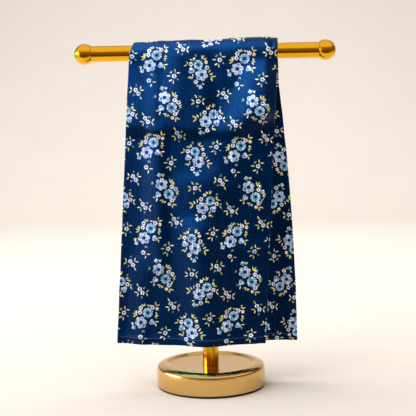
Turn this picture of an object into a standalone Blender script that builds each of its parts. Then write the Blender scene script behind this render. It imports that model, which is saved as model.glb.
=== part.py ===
"""A cotton tea towel, folded in thirds along its length, over the bar of a T-shaped stand.

Metres, +Z up. The origin is the middle of the foot, on the surface that it stands on.
X runs along the bar, and the face of the cloth that a cook sees is towards -Y.
"""

import math

import bmesh
import bpy
import numpy as np

NAME = "tea_towel_on_stand"
FIT = 0.0003  # the gap left between two pieces that touch

# The stand: one tube size for the bar and the post, ball ends, and a turned foot on a pad.
TUBE_RADIUS = 0.009
TUBE_SIDES = 36
BAR_HEIGHT = 0.383  # the bar's axis above the surface
BAR_HALF = 0.128  # from the middle to the bar's cut end
BALL_RADIUS = 0.0117
BALL_CENTRE = 0.1355
BALL_STEPS = 8  # points along the ball's arc
COPE_STOP = 0.0035  # the post's saddle stops this far below the bar's axis

PAD_RADIUS = 0.0612
PAD_HEIGHT = 0.002
FOOT_SIDES = 64
FOOT_RADIUS = 0.0626
FOOT_TABLE = 0.0246  # height of the flat disc that the post stands on
FOOT_CREST = 0.027  # height of the raised ring round that disc
SHOULDER = 0.0046  # radius of the foot's rounded shoulder
SHOULDER_STEPS = 5
# The top of the foot from its middle out to the shoulder.
# columns: radius, height
FOOT_TOP = (
    (0.0, FOOT_TABLE),
    (0.0468, FOOT_TABLE),
    (0.0478, FOOT_TABLE + 0.0004),
    (0.0512, FOOT_CREST - 0.0003),
    (0.0526, FOOT_CREST),
    (0.0542, FOOT_CREST - 0.0001),
)
SHOULDER_DROP = 0.0008  # the shoulder's top is this far below the crest
FOOT_BEVEL = 0.0012  # the foot's lower edge is bevelled by this

# The cloth: a hemmed 18 by 28 inch towel of sheet SHEET thick, in three layers PITCH apart.
TOWEL_WIDTH = 0.457
SHEET = 0.001
PITCH = 0.0015
HEM_SHEET = 0.0014  # the end hems are turned twice, so they are thicker
HEM_PITCH = 0.0018
HEM_DEPTH = 0.0095
HEM_STEP = 0.0015  # how quickly the hem's thickness fades
INNER = TUBE_RADIUS + FIT  # the inmost face of the cloth, from the bar's axis
TUCKED_SHORT = 0.0105  # the middle layer's free edge stops this short of the right fold
LAPPED_SHORT = 0.030  # the inner layer's free edge stops this short of the left fold
TUCKED_EASE = 0.0045  # how far the outer layers take to drop past the tucked edge
LAPPED_EASE = 0.012  # and past the lapped one, which is held less tightly
FOLD_STEPS = 4  # facets round each folded edge
POST_BERTH = 0.013  # the cloth doesn't come in nearer the middle than this beside the post

# The strip that the letter fold makes of the towel's width, and how it hangs askew.
STRIP_WIDTH = (TOWEL_WIDTH + TUCKED_SHORT + LAPPED_SHORT) / 3
STRIP_SPREAD = 0.005  # by the hems its layers have slipped this far apart
CROWN_MIDDLE = 0.001  # the strip's middle on top of the bar
CROWN_DRAW = 0.002  # each folded edge draws in by this much where it bends over the bar
FRONT_MIDDLE = -0.002  # the strip's middle where the front panel leaves the bar
FRONT_SWING = -0.020  # the panel leans to this side in a straight line down to its hem
BACK_MIDDLE = 0.0
BACK_PLUMB = 0.035  # the back panel hangs straight for this far below the bar's axis,
BACK_SWING = 0.016  # then swings the other way in an easing curve
HEM_LEVEL = 0.050

# The end hems, which sag a little between their corners.
# columns: height at the left corner, at the right corner, sag in the middle
FRONT_HEM = (0.0535, 0.0500, 0.0005)
BACK_HEM = (0.0510, 0.0485, 0.0015)

# How far each panel stands out past a straight hang.
# columns: at its middle by the hem, at its edges
FRONT_BOW = (0.0070, -0.0020)
BACK_BOW = (0.0060, -0.0010)

# Main folds and creases of a panel, as soft ridges (lift above zero) and troughs. Each runs
# from one place to another and has its own width on either side, so a ridge may be steeper
# on one flank.
# columns: one end's x and height, the other end's, width to its left or below, width to its
# right or above, lift
FRONT_FOLDS = (
    (-0.110, 0.302, 0.016, 0.296, 0.013, 0.080, 0.0050),  # shelf over the packing crease
    (0.040, 0.300, 0.084, 0.322, 0.014, 0.080, 0.0080),  # which turns up at its right end
    (0.034, 0.400, 0.018, 0.318, 0.030, 0.030, -0.0080),  # trough under the dip on the bar
    (-0.030, 0.380, -0.034, 0.330, 0.022, 0.026, 0.0020),
    (-0.054, 0.285, -0.056, 0.145, 0.019, 0.014, 0.0040),  # narrow ridge on the left
    (0.018, 0.278, 0.022, 0.232, 0.034, 0.050, 0.0045),
    (-0.010, 0.215, -0.003, 0.030, 0.038, 0.038, 0.0100),  # long ridge down to the hem
    (-0.080, 0.140, -0.083, 0.030, 0.016, 0.018, 0.0020),
    (0.006, 0.158, 0.084, 0.160, 0.007, 0.018, 0.0020),  # lower packing crease
)
BACK_FOLDS = (
    (-0.030, 0.372, -0.022, 0.030, 0.036, 0.036, 0.0038),
    (0.034, 0.352, 0.046, 0.030, 0.028, 0.028, -0.0026),
    (0.078, 0.330, 0.084, 0.030, 0.018, 0.018, 0.0016),
    (-0.095, 0.290, 0.100, 0.290, 0.015, 0.015, -0.0022),
    (-0.090, 0.152, 0.110, 0.152, 0.013, 0.013, -0.0018),
)
FOLD_FADE = 0.024  # a fold fades out over this length past its ends
BOW_RISE = 0.7  # the bow grows with this power of the way down
DEEPEST = -0.006  # no trough goes further in than this
CROWN_FADE = 0.06  # share of a panel over which the crown's lift fades out
CROWN_ROUND = 0.8  # how squarely the folded edges turn over the bar

# How far the layers stand off the bar along its top: a shallow dip right of the middle, and
# a loose rise to the right.
# columns: x, lift
CROWN_LIFT = (
    (-0.080, 0.0005),
    (-0.060, 0.0010),
    (-0.045, 0.0),
    (-0.015, 0.0010),
    (0.010, 0.0),
    (0.030, 0.0020),
    (0.080, 0.0030),
)

# Heights of the cloth's rows on each panel, as read at its middle, below the bar.
FRONT_ROWS = (
    0.372, 0.358, 0.342, 0.324, 0.307, 0.297, 0.290, 0.283, 0.272, 0.252, 0.228,
    0.204, 0.182, 0.165, 0.152, 0.139, 0.120, 0.098, 0.078,
)
BACK_ROWS = (
    0.368, 0.350, 0.330, 0.307, 0.290, 0.273, 0.245, 0.215, 0.185, 0.165, 0.152,
    0.139, 0.112, 0.082,
)
CROWN_ROWS = 9  # rows over the bar, from one side of it to the other

# columns: red, green, blue, roughness, metallic
FINISHES = {
    "gold_tube": (0.72, 0.45, 0.13, 0.16, 1.0),
    "gold_foot": (0.70, 0.56, 0.34, 0.18, 1.0),
    "pad_rubber": (0.012, 0.012, 0.013, 0.70, 0.0),
    "navy_cotton": (0.010, 0.030, 0.120, 0.90, 0.0),
}


def clear_scene():
    for thing in list(bpy.data.objects):
        bpy.data.objects.remove(thing, do_unlink=True)


def new_collection(name):
    group = bpy.data.collections.new(name)
    bpy.context.scene.collection.children.link(group)
    return group


def finish(name):
    red, green, blue, roughness, metallic = FINISHES[name]
    material = bpy.data.materials.new(name)
    material.use_nodes = True
    shader = material.node_tree.nodes["Principled BSDF"]
    shader.inputs["Base Color"].default_value = (red, green, blue, 1.0)
    shader.inputs["Roughness"].default_value = roughness
    shader.inputs["Metallic"].default_value = metallic
    return material


def add_piece(group, name, mesh, material):
    piece = bpy.data.objects.new(name, mesh)
    group.objects.link(piece)
    if material:
        mesh.materials.append(material)
    return piece


def turned(group, name, profile, sides, material):
    """A piece turned from a profile of (radius, height) points that runs down its outside."""
    mesh = bpy.data.meshes.new(name)
    chain = [(i, i + 1) for i in range(len(profile) - 1)]
    mesh.from_pydata([(radius, 0.0, height) for radius, height in profile], chain, [])
    piece = add_piece(group, name, mesh, material)
    screw = piece.modifiers.new("turn", "SCREW")
    screw.axis = "Z"
    screw.steps = sides
    screw.render_steps = sides
    screw.use_merge_vertices = True
    screw.merge_threshold = 0.00001
    screw.use_smooth_shade = True
    return piece


def cylinder_mesh(name, radius, length, sides):
    """A capped cylinder along Z, centred on its own origin."""
    mesh = bpy.data.meshes.new(name)
    shape = bmesh.new()
    bmesh.ops.create_cone(
        shape, cap_ends=True, segments=sides, radius1=radius, radius2=radius, depth=length
    )
    shape.to_mesh(mesh)
    shape.free()
    mesh.shade_smooth()
    mesh.set_sharp_from_angle(angle=math.radians(40))
    return mesh


def arc(centre_radius, centre_height, radius, start, stop, steps):
    """Points of a profile's round stretch; angles are in degrees, from straight out to up."""
    turns = [math.radians(start + (stop - start) * i / steps) for i in range(steps + 1)]
    return [
        (centre_radius + radius * math.cos(a), centre_height + radius * math.sin(a))
        for a in turns
    ]


def make_foot(group):
    pad_mesh = cylinder_mesh("base_pad", PAD_RADIUS, PAD_HEIGHT, FOOT_SIDES)
    pad = add_piece(group, "base_pad", pad_mesh, finish("pad_rubber"))
    pad.location.z = PAD_HEIGHT / 2

    underside = PAD_HEIGHT + FIT
    shoulder_height = FOOT_CREST - SHOULDER_DROP - SHOULDER
    profile = list(FOOT_TOP)
    profile += arc(FOOT_RADIUS - SHOULDER, shoulder_height, SHOULDER, 90, 0, SHOULDER_STEPS)
    profile += [
        (FOOT_RADIUS, underside + FOOT_BEVEL),
        (FOOT_RADIUS - FOOT_BEVEL, underside),
        (0.0, underside),
    ]
    turned(group, "base", profile, FOOT_SIDES, finish("gold_foot"))


def make_tubes(group, cutters):
    gold = finish("gold_tube")
    bar_mesh = cylinder_mesh("bar", TUBE_RADIUS, 2 * BAR_HALF, TUBE_SIDES)
    bar = add_piece(group, "bar", bar_mesh, gold)
    bar.location.z = BAR_HEIGHT
    bar.rotation_euler.y = math.radians(90)

    foot_of_post = FOOT_TABLE + FIT
    top_of_post = BAR_HEIGHT - COPE_STOP
    post_length = top_of_post - foot_of_post
    post_mesh = cylinder_mesh("post", TUBE_RADIUS, post_length, TUBE_SIDES)
    post = add_piece(group, "post", post_mesh, gold)
    post.location.z = (foot_of_post + top_of_post) / 2

    cope_mesh = cylinder_mesh("cope", TUBE_RADIUS + FIT, 4 * TUBE_RADIUS, TUBE_SIDES)
    cope = add_piece(cutters, "cope", cope_mesh, None)
    cope.location.z = BAR_HEIGHT
    cope.rotation_euler.y = math.radians(90)
    cope.hide_render = True
    cope.display_type = "WIRE"
    cut = post.modifiers.new("saddle", "BOOLEAN")
    cut.operation = "DIFFERENCE"
    cut.solver = "EXACT"
    cut.object = cope

    flat = BALL_CENTRE - BAR_HALF - FIT
    lowest = -math.degrees(math.asin(flat / BALL_RADIUS))
    profile = [(0.0, BALL_RADIUS)]
    profile += arc(0.0, 0.0, BALL_RADIUS, 90, lowest, BALL_STEPS)[1:]
    profile.append((0.0, -flat))
    for name, side in (("finial_left", -1), ("finial_right", 1)):
        ball = turned(group, name, profile, TUBE_SIDES, gold)
        ball.location = (side * BALL_CENTRE, 0.0, BAR_HEIGHT)
        ball.rotation_euler.y = side * math.radians(90)


def smooth_step(value, start, stop):
    share = min(max((value - start) / (stop - start), 0.0), 1.0)
    return share * share * (3 - 2 * share)


def panel_edges(side, level):
    """The two folded edges of a panel at one height; side is -1 in front and 1 behind."""
    drop = (BAR_HEIGHT - level) / (BAR_HEIGHT - HEM_LEVEL)
    if side < 0:
        middle = FRONT_MIDDLE + FRONT_SWING * drop
    else:
        start = BAR_HEIGHT - BACK_PLUMB
        share = min(max((start - level) / (start - HEM_LEVEL), 0.0), 1.0)
        middle = BACK_MIDDLE + BACK_SWING * (1 - (1 - share) ** 2)
    half = (STRIP_WIDTH + STRIP_SPREAD * drop) / 2
    return middle - half, middle + half


def fold_lift(folds, x, height):
    """What a panel's folds and creases add at one place on it."""
    total = 0.0
    for x1, z1, x2, z2, before, after, lift in folds:
        run = np.array((x2 - x1, z2 - z1))
        length = float(np.linalg.norm(run))
        run = run / length
        from_start = np.array((x - x1, height - z1))
        on = float(from_start @ run)
        off = float(from_start @ np.array((-run[1], run[0])))
        reach = before if off < 0 else after
        fade = smooth_step(on, -FOLD_FADE, 0.0) * smooth_step(length - on, -FOLD_FADE, 0.0)
        if abs(off) < reach:
            total += lift * fade * (0.5 + 0.5 * math.cos(math.pi * off / reach))
    return total


def panel_bulge(bow, folds, share, drop, x, height):
    """How far a hanging panel stands out from a straight hang; it never enters the stand."""
    middle, edge = bow
    across = 1 - (2 * share - 1) ** 2
    bulge = drop**BOW_RISE * (edge + (middle - edge) * across)
    bulge += fold_lift(folds, x, height)
    bar_side = smooth_step(height, BAR_HEIGHT - 3 * TUBE_RADIUS, BAR_HEIGHT - TUBE_RADIUS)
    post_side = 1 - smooth_step(abs(x), POST_BERTH, 2 * POST_BERTH)
    least = DEEPEST * (1 - max(bar_side, post_side))
    return max(bulge, least)


def crown_bulge(x):
    places, lifts = zip(*CROWN_LIFT)
    return float(np.interp(x, places, lifts))


def front_place(share, level, out):
    """A point of the front panel: share goes across it, level is a row's height."""
    left, right = panel_edges(-1, level)
    return panel_place(-1, FRONT_BOW, FRONT_FOLDS, FRONT_HEM, left, right, share, level, out)


def back_place(share, level, out):
    left, right = panel_edges(1, level)
    return panel_place(1, BACK_BOW, BACK_FOLDS, BACK_HEM, left, right, share, level, out)


def panel_place(side, bow, folds, hem, left, right, share, level, out):
    hem_left, hem_right, sag = hem
    hem_here = hem_left + (hem_right - hem_left) * share - sag * 4 * share * (1 - share)
    hem_middle = (hem_left + hem_right) / 2 - sag
    drop = (BAR_HEIGHT - level) / (BAR_HEIGHT - hem_middle)
    height = BAR_HEIGHT - drop * (BAR_HEIGHT - hem_here)
    x = left + (right - left) * share
    bulge = panel_bulge(bow, folds, share, drop, x, height)
    by_the_bar = 1 - smooth_step(drop, 0.0, CROWN_FADE)
    bulge = max(bulge, crown_bulge(x) * by_the_bar)
    return (x, side * (INNER + bulge + out), height)


def crown_place(share, turn, out):
    """A point over the bar: turn goes from 0 at the front to 1 at the back."""
    front = np.array(panel_edges(-1, BAR_HEIGHT))
    back = np.array(panel_edges(1, BAR_HEIGHT))
    level = front + (back - front) * turn
    reach = STRIP_WIDTH / 2 - CROWN_DRAW
    top = np.array((CROWN_MIDDLE - reach, CROWN_MIDDLE + reach))
    left, right = level + (top - (front + back) / 2) * math.sin(math.pi * turn) ** CROWN_ROUND
    x = left + (right - left) * share
    angle = math.pi * turn
    facet = math.pi / (CROWN_ROWS + 1)
    radius = INNER / math.cos(facet / 2) + out + crown_bulge(x)
    return (x, -radius * math.cos(angle), BAR_HEIGHT + radius * math.sin(angle))


def section_shape(width, sheet, pitch):
    """The letter fold seen end on, as (across, out) points down the middle of the sheet.

    It starts at the free edge of the middle layer, goes round the left fold into the outer
    layer, and round the right fold into the inner layer, which laps over the first.
    """
    fold = pitch / 2
    reach = fold + sheet / 2
    marks = [reach, 0.010, LAPPED_SHORT - LAPPED_EASE, LAPPED_SHORT]
    marks += list(np.linspace(LAPPED_SHORT, width - TUCKED_SHORT, 10)[1:])
    marks += [width - TUCKED_SHORT + TUCKED_EASE, width - reach]
    tucked_end = len(marks) - 3
    lapped_end = 3

    def step_up(i):
        return pitch if lapped_end <= i <= tucked_end else 0.0

    low = sheet / 2
    middle = [(marks[i], low + step_up(i)) for i in range(tucked_end, -1, -1)]
    outer = [(mark, low + pitch + step_up(i)) for i, mark in enumerate(marks)]
    inner = [(marks[i], low) for i in range(len(marks) - 1, lapped_end - 1, -1)]
    turns = [math.pi * i / FOLD_STEPS for i in range(1, FOLD_STEPS)]
    left_fold = [(reach - fold * math.sin(a), low + fold - fold * math.cos(a)) for a in turns]
    right_fold = [
        (width - reach + fold * math.sin(a), low + fold + fold * math.cos(a)) for a in turns
    ]
    return middle + left_fold + outer + right_fold + inner


def section_outline(width, sheet, pitch):
    """The two faces of the sheet along section_shape, as two rows of (across, out)."""
    line = np.array(section_shape(width, sheet, pitch))
    before = np.vstack((line[:1] - (line[1:2] - line[:1]), line[:-1]))
    after = np.vstack((line[1:], line[-1:] + (line[-1:] - line[-2:-1])))
    into = (line - before) / np.linalg.norm(line - before, axis=1)[:, None]
    onward = (after - line) / np.linalg.norm(after - line, axis=1)[:, None]
    mean = into + onward
    mean /= np.linalg.norm(mean, axis=1)[:, None]
    normal = np.column_stack((-mean[:, 1], mean[:, 0]))
    stretch = 1 / np.maximum((mean * into).sum(axis=1), 0.8)
    offset = normal * (sheet / 2 * stretch)[:, None]
    return line + offset, line - offset


def cloth_rows():
    """Every row of the cloth, from the back hem over the bar to the front hem.

    Each is a function that places (share, out), where the row lies, its width, and 1 where
    the sheet is as thick as the hem.
    """
    rows = []
    hem_marks = (0.0, HEM_DEPTH - HEM_STEP, HEM_DEPTH)

    def add_panel(place, side, hem, levels):
        bottom = (hem[0] + hem[1]) / 2 - hem[2]
        for level in levels + tuple(bottom + mark for mark in reversed(hem_marks)):
            left, right = panel_edges(side, level)
            thick = 1.0 if level - bottom < HEM_DEPTH - HEM_STEP / 2 else 0.0
            rows.append((place, level, right - left, thick))

    add_panel(back_place, 1, BACK_HEM, BACK_ROWS)
    rows.reverse()
    top_width = STRIP_WIDTH - 2 * CROWN_DRAW
    for i in range(CROWN_ROWS + 2):
        rows.append((crown_place, 1 - i / (CROWN_ROWS + 1), top_width, 0.0))
    add_panel(front_place, -1, FRONT_HEM, FRONT_ROWS)
    return rows


def make_towel(group):
    rings = []
    for place, where, width, thick in cloth_rows():
        sheet = SHEET + (HEM_SHEET - SHEET) * thick
        pitch = PITCH + (HEM_PITCH - PITCH) * thick
        face, reverse = section_outline(width, sheet, pitch)
        outline = np.vstack((face, reverse[::-1]))
        rings.append([place(across / width, where, out) for across, out in outline])

    shape = bmesh.new()
    verts = [[shape.verts.new(point) for point in ring] for ring in rings]
    count = len(verts[0])
    for upper, lower in zip(verts, verts[1:]):
        for i in range(count):
            j = (i + 1) % count
            shape.faces.new((upper[i], upper[j], lower[j], lower[i]))
    for ring in (verts[0], verts[-1]):
        for i in range(count // 2 - 1):
            shape.faces.new((ring[i], ring[i + 1], ring[count - 2 - i], ring[count - 1 - i]))
    bmesh.ops.recalc_face_normals(shape, faces=shape.faces)
    mesh = bpy.data.meshes.new("towel")
    shape.to_mesh(mesh)
    shape.free()
    mesh.shade_smooth()
    mesh.set_sharp_from_angle(angle=math.radians(50))
    add_piece(group, "towel", mesh, finish("navy_cotton"))


def main():
    clear_scene()
    group = new_collection(NAME)
    cutters = new_collection("cutters")
    make_foot(group)
    make_tubes(group, cutters)
    make_towel(group)


main()
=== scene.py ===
# %% [markdown]
# # A flowered tea towel on a gold T-shaped stand
#
# The real thing is a hemmed cotton towel of 18 by 28 inches, printed with small bunches of
# flowers on navy. It is folded in thirds along its length and hung, a little askew, over the
# bar of a polished counter stand. The packed model gives the sizes, and this script gives the
# looks: cloth with soft folds, a print that runs on round every fold, and mirror-bright metal.

import math

import bpy
import numpy as np
from mathutils import Matrix, Vector, noise


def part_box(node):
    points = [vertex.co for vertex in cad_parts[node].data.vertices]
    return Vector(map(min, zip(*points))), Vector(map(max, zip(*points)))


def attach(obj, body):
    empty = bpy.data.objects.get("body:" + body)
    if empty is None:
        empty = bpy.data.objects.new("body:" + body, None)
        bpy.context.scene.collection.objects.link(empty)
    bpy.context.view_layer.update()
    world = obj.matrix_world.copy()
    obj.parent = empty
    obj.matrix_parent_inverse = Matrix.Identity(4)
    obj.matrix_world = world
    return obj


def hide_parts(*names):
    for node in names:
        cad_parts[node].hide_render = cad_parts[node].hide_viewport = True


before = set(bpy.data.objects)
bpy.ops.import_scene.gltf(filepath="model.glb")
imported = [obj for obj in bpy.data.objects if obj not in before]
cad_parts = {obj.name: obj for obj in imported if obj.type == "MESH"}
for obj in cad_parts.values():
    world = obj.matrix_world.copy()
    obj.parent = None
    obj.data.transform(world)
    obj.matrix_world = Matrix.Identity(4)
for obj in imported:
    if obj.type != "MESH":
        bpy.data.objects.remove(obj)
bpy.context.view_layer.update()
print("packed nodes:", sorted(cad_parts))

# %% [markdown]
# ## The camera
#
# A long lens from well back keeps the stand's uprights nearly parallel. It is a little lower
# than the bar and looks slightly down. The slight roll is part of the view: the bar rises to the
# right. A Track To constraint could aim it, but a plain rotation keeps the roll under control.

# %% Camera
SENSOR_MM = 36.0
LENS_MM = 95.2
CAMERA_PLACE = Vector((0.0, -1.251, 0.3411))
CAMERA_DROP = 6.15  # degrees below level
CAMERA_ROLL = 1.1  # degrees

camera_data = bpy.data.cameras.new("view")
camera_data.sensor_width = SENSOR_MM
camera_data.lens = LENS_MM
camera = bpy.data.objects.new("view", camera_data)
bpy.context.scene.collection.objects.link(camera)
aim = Matrix.Rotation(math.radians(90 - CAMERA_DROP), 4, "X")
camera.matrix_world = (
    Matrix.Translation(CAMERA_PLACE) @ aim @ Matrix.Rotation(math.radians(-CAMERA_ROLL), 4, "Z")
)
bpy.context.scene.camera = camera
bpy.context.scene.view_settings.view_transform = "Standard"
print("camera looks along", [round(v, 3) for v in -camera.matrix_world.col[2].xyz])

# %% [markdown]
# ## Short ways to build shader nodes
#
# A printed cloth needs a few hundred nodes, and they follow rules: so many petals, so many
# leaves. A small class with methods for sums, vectors and mixes lets loops lay them out. The
# effects that several materials share become node groups with named inputs and outputs.


# %% Colours
def colour(red, green, blue):
    """Turns a colour read as 0 to 255 on a screen into the linear one that shaders use."""
    share = [v / 255 for v in (red, green, blue)]
    linear = [v / 12.92 if v <= 0.04045 else ((v + 0.055) / 1.055) ** 2.4 for v in share]
    return (*linear, 1.0)


print("middle grey as shaders see it:", round(colour(128, 128, 128)[0], 3))

# %% Node helpers
# What the Mix node calls a kind, its first input for it, and its output
MIXES = {"value": ("FLOAT", 2, 0), "vector": ("VECTOR", 4, 1), "colour": ("RGBA", 6, 2)}


class Graph:
    """A shader tree, with short ways to add nodes to it."""

    def __init__(self, tree):
        self.tree = tree

    def feed(self, socket, value):
        if isinstance(value, bpy.types.NodeSocket):
            self.tree.links.new(value, socket)
        else:
            socket.default_value = value

    def node(self, kind, feeds=None, **settings):
        made = self.tree.nodes.new(kind)
        for name, value in settings.items():
            setattr(made, name, value)
        for name, value in (feeds or {}).items():
            self.feed(made.inputs[name], value)
        return made

    def math(self, operation, *values):
        feeds = dict(enumerate(values))
        return self.node("ShaderNodeMath", feeds, operation=operation).outputs[0]

    def vector(self, operation, *values):
        made = self.node("ShaderNodeVectorMath", dict(enumerate(values)), operation=operation)
        single = operation in ("LENGTH", "DOT_PRODUCT")
        return made.outputs["Value" if single else "Vector"]

    def scaled(self, vector, scale):
        feeds = {"Vector": vector, "Scale": scale}
        return self.node("ShaderNodeVectorMath", feeds, operation="SCALE").outputs["Vector"]

    def mix(self, share, low, high, kind="colour", **settings):
        """Part of the way from low to high; both are of one kind."""
        data_type, first, given = MIXES[kind]
        feeds = {0: share, first: low, first + 1: high}
        made = self.node("ShaderNodeMix", feeds, data_type=data_type, **settings)
        return made.outputs[given]

    def spread(self, value, low, high, out_low=0.0, out_high=1.0):
        """value from low to high becomes out_low to out_high, and is held there past the ends."""
        feeds = {0: value, 1: low, 2: high, 3: out_low, 4: out_high}
        return self.node("ShaderNodeMapRange", feeds).outputs[0]

    def speckle(self, vector, scale, detail=2.0, roughness=0.5):
        """Smooth noise from 0 to 1."""
        feeds = {"Vector": vector, "Scale": scale, "Detail": detail, "Roughness": roughness}
        return self.node("ShaderNodeTexNoise", feeds).outputs["Fac"]

    def axes(self, vector):
        """A vector's parts, by the names X, Y and Z."""
        return self.node("ShaderNodeSeparateXYZ", {0: vector}).outputs

    def object_place(self):
        """Where a point lies on its object, in metres."""
        return self.node("ShaderNodeTexCoord").outputs["Object"]

    def bump(self, shader, height, distance, strength=1.0):
        """Tilts what the shader shows as if the surface rose by height times distance."""
        feeds = {"Height": height, "Distance": distance, "Strength": strength}
        made = self.node("ShaderNodeBump", feeds)
        self.feed(shader.inputs["Normal"], made.outputs["Normal"])

    def use(self, group, **feeds):
        """A group's outputs; an underscore in a feed's name stands for a space."""
        made = self.tree.nodes.new("ShaderNodeGroup")
        made.node_tree = group
        for name, value in feeds.items():
            self.feed(made.inputs[name.replace("_", " ")], value)
        return made.outputs


print("short ways:", [name for name in vars(Graph) if not name.startswith("_")])

# %% Groups and materials
SOCKETS = {"value": "NodeSocketFloat", "vector": "NodeSocketVector", "colour": "NodeSocketColor"}


def new_group(name, inputs, outputs):
    """An empty node group: returns it, its graph, its input sockets, and its output node."""
    group = bpy.data.node_groups.new(name, "ShaderNodeTree")
    for direction, sockets in (("INPUT", inputs), ("OUTPUT", outputs)):
        for label, kind in sockets:
            group.interface.new_socket(label, in_out=direction, socket_type=SOCKETS[kind])
    graph = Graph(group)
    entry = graph.node("NodeGroupInput")
    leave = graph.node("NodeGroupOutput")
    return group, graph, entry.outputs, leave.inputs


def new_material(name, **values):
    """A material, its graph, and its shader with the inputs that values names set."""
    material = bpy.data.materials.new(name)
    material.use_nodes = True
    graph = Graph(material.node_tree)
    shader = material.node_tree.nodes["Principled BSDF"]
    for label, value in values.items():
        graph.feed(shader.inputs[label.replace("_", " ")], value)
    return material, graph, shader


print("kinds of socket:", list(SOCKETS))

# %% [markdown]
# ## The room
#
# The stand is on a pale counter with a pale wall behind and above it, one big window to the
# left, and darkness behind the camera. Gold shows nothing but what it mirrors, so those decide
# its bands: bright above, brown at eye level, bright again from the counter, and a glint where
# the window's pane is. The world shader gives mirror rays that room, gives the camera an even
# cream, and lets light fall on things from above alone. Painting the bands on the metal would
# be quicker, and would look wrong from any other side.

# %% Counter and sweep
ROOM_CREAM = colour(247, 240, 232)
COUNTER_FRONT = -0.45  # where the counter ends, in front of the stand
SWEEP_START = 1.6
SWEEP_RADIUS = 0.9
ROOM_HALF = 5.0
ROOM_TOP = 4.0
PAPER_TONES = (colour(200, 193, 187), colour(205, 198, 191))


def add_mesh(name, verts, faces, sharp=None):
    """A smooth mesh in the scene, crisp where it turns by more than sharp degrees."""
    mesh = bpy.data.meshes.new(name)
    mesh.from_pydata(verts, [], faces)
    mesh.shade_smooth()
    if sharp is not None:
        mesh.set_sharp_from_angle(angle=math.radians(sharp))
    piece = bpy.data.objects.new(name, mesh)
    bpy.context.scene.collection.objects.link(piece)
    return piece


def strip_mesh(name, profile, half_width):
    """A sheet along X, from a profile of (y, z) points."""
    verts = [(side * half_width, y, z) for y, z in profile for side in (-1, 1)]
    faces = [(2 * i, 2 * i + 1, 2 * i + 3, 2 * i + 2) for i in range(len(profile) - 1)]
    return add_mesh(name, verts, faces)


paper, graph, shader = new_material("cream_paper", Roughness=0.85, Specular_IOR_Level=0.15)
grain = graph.speckle(graph.object_place(), 9.0, 3.0)
graph.feed(shader.inputs["Base Color"], graph.mix(grain, *PAPER_TONES))

curve = [math.radians(a) for a in range(0, 91, 6)]
sweep_profile = [(COUNTER_FRONT, 0.0), (SWEEP_START, 0.0)]
sweep_profile += [
    (SWEEP_START + SWEEP_RADIUS * math.sin(a), SWEEP_RADIUS * (1 - math.cos(a))) for a in curve[1:]
]
sweep_profile.append((SWEEP_START + SWEEP_RADIUS, ROOM_TOP))
sweep = strip_mesh("sweep", sweep_profile, ROOM_HALF)
far_floor = strip_mesh("far_floor", [(-ROOM_HALF, 0.0), (COUNTER_FRONT, 0.0)], ROOM_HALF)
far_floor.visible_glossy = False  # the gold mirrors the dark in front of the counter instead
for sheet in (sweep, far_floor):
    # The paper throws no light back, so the cloth's folds stay deep.
    sheet.visible_diffuse = False
    sheet.data.materials.append(paper)
print("counter and sweep, m:", [round(v, 2) for v in (COUNTER_FRONT, *sweep_profile[-1])])

# %% World
WALL_CREAM = colour(250, 243, 235)
DARK_LOW, DARK_HIGH = colour(96, 70, 52), colour(158, 126, 98)
# Each pair is where an edge in the mirrored room starts and ends, as the height or the heading
# of a direction, from -1 to 1.
CEILING_EDGE = (0.40, 0.60)
WINDOW_WALL_EDGE = (-0.70, -0.86)
DARK_FADE = (-0.40, 0.45)
PANE_SIDE = (-0.92, -0.96)
PANE_SILL = (-0.03, 0.03)
PANE_TOP = (0.30, 0.24)
PANE_EXTRA = 14.0  # how much brighter than the room its window looks in a mirror
AMBIENT_TOP = 0.50  # strength of the light from straight above; there is none from the side

world = bpy.data.worlds.new("room")
world.use_nodes = True
bpy.context.scene.world = world
graph = Graph(world.node_tree)
background = world.node_tree.nodes["Background"]
heading = graph.node("ShaderNodeTexCoord").outputs["Generated"]
axes = graph.axes(heading)
ceiling = graph.spread(axes["Z"], *CEILING_EDGE)
window_wall = graph.spread(axes["X"], *WINDOW_WALL_EDGE)
dark = graph.mix(graph.spread(axes["Z"], *DARK_FADE), DARK_LOW, DARK_HIGH)
mirrored = graph.mix(graph.math("MAXIMUM", ceiling, window_wall), dark, WALL_CREAM)
path = graph.node("ShaderNodeLightPath").outputs
shown = graph.mix(path["Is Camera Ray"], mirrored, ROOM_CREAM)
graph.feed(background.inputs["Color"], shown)

above_sill = graph.spread(axes["Z"], *PANE_SILL)
pane = graph.math("MULTIPLY", graph.spread(axes["X"], *PANE_SIDE), above_sill)
pane = graph.math("MULTIPLY", pane, graph.spread(axes["Z"], *PANE_TOP))
seen = graph.math("MULTIPLY_ADD", pane, PANE_EXTRA, 1.0)
from_above = graph.spread(axes["Z"], 0.0, 1.0, 0.0, AMBIENT_TOP)
strength = graph.mix(path["Is Diffuse Ray"], seen, from_above, "value")
strength = graph.mix(path["Is Camera Ray"], strength, 1.0, "value")
graph.feed(background.inputs["Strength"], strength)
print("world nodes:", len(world.node_tree.nodes))


# %% Lamps
def soft_box(name, place, target, width, height, power, tint):
    """A rectangular lamp at place that faces target and stays out of the camera's sight."""
    data = bpy.data.lights.new(name, "AREA")
    data.shape = "RECTANGLE"
    data.size = width
    data.size_y = height
    data.energy = power
    data.color = tint
    box = bpy.data.objects.new(name, data)
    bpy.context.scene.collection.objects.link(box)
    toward = (Vector(target) - Vector(place)).to_track_quat("-Z", "Y")
    box.matrix_world = Matrix.Translation(place) @ toward.to_matrix().to_4x4()
    box.visible_camera = False
    return box


DAYLIGHT = (1.0, 0.985, 0.965)
SKYLIGHT = (0.20, 0.80, 1.0)  # clear sky, as the cloth's gloss shows it
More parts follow.
